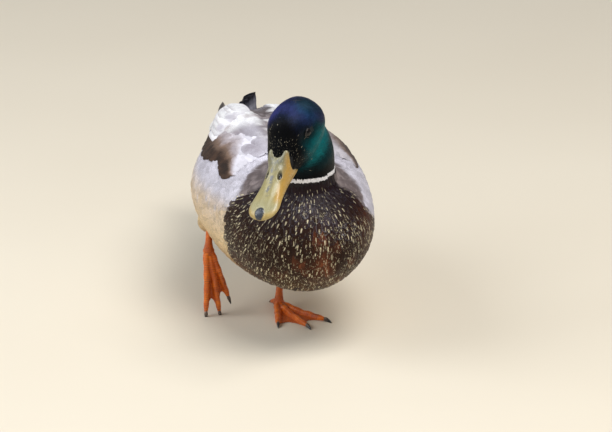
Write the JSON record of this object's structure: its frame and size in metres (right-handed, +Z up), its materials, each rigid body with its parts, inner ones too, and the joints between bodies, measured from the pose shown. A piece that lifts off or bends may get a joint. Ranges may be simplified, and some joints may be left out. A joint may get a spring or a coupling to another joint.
{
  "type": "mallard drake",
  "caption": "Life-size still model of a walking mallard drake, one foot planted, one lifted onto its claw tips, head low and turned to its right.",
  "frame": {"origin": "bottom centre of the whole bird's box, on the floor it stands on", "axes": "+Z up, the bird walks towards -Y, its left side is +X"},
  "size_m": [0.1436, 0.3994, 0.2269],
  "materials": {
    "trunk_plumage": "matt feathers",
    "wing_plumage": "matt feathers",
    "flight_feathers": "matt feathers with a faint sheen",
    "tail_feathers": "matt feathers",
    "curled_feathers": "glossy feathers",
    "head_plumage": "iridescent green and blue feathers",
    "neck_plumage": "dark green feathers above a white collar",
    "bill_horn": "satin horn, olive yellow",
    "eye": "wet gloss, dark brown",
    "foot_skin": "satin scaled skin, orange",
    "claw_horn": "satin horn, near black"
  },
  "bodies": {
    "root": {"trunk": "trunk_plumage", "neck": "neck_plumage", "head": "head_plumage", "bill_upper": "bill_horn", "bill_lower": "bill_horn", "eye_L": "eye", "eye_R": "eye", "wing_L": "wing_plumage", "wing_R": "wing_plumage", "primaries_L": "flight_feathers", "primaries_R": "flight_feathers", "tail": "tail_feathers", "curl_L": "curled_feathers", "curl_R": "curled_feathers", "thigh_L": "trunk_plumage", "thigh_R": "trunk_plumage", "tarsus_L": "foot_skin", "tarsus_R": "foot_skin", "foot_L": "foot_skin", "foot_R": "foot_skin", "claw_L_inner": "claw_horn", "claw_L_middle": "claw_horn", "claw_L_outer": "claw_horn", "claw_L_hind": "claw_horn", "claw_R_inner": "claw_horn", "claw_R_middle": "claw_horn", "claw_R_outer": "claw_horn", "claw_R_hind": "claw_horn"}
  },
  "joints": []
}
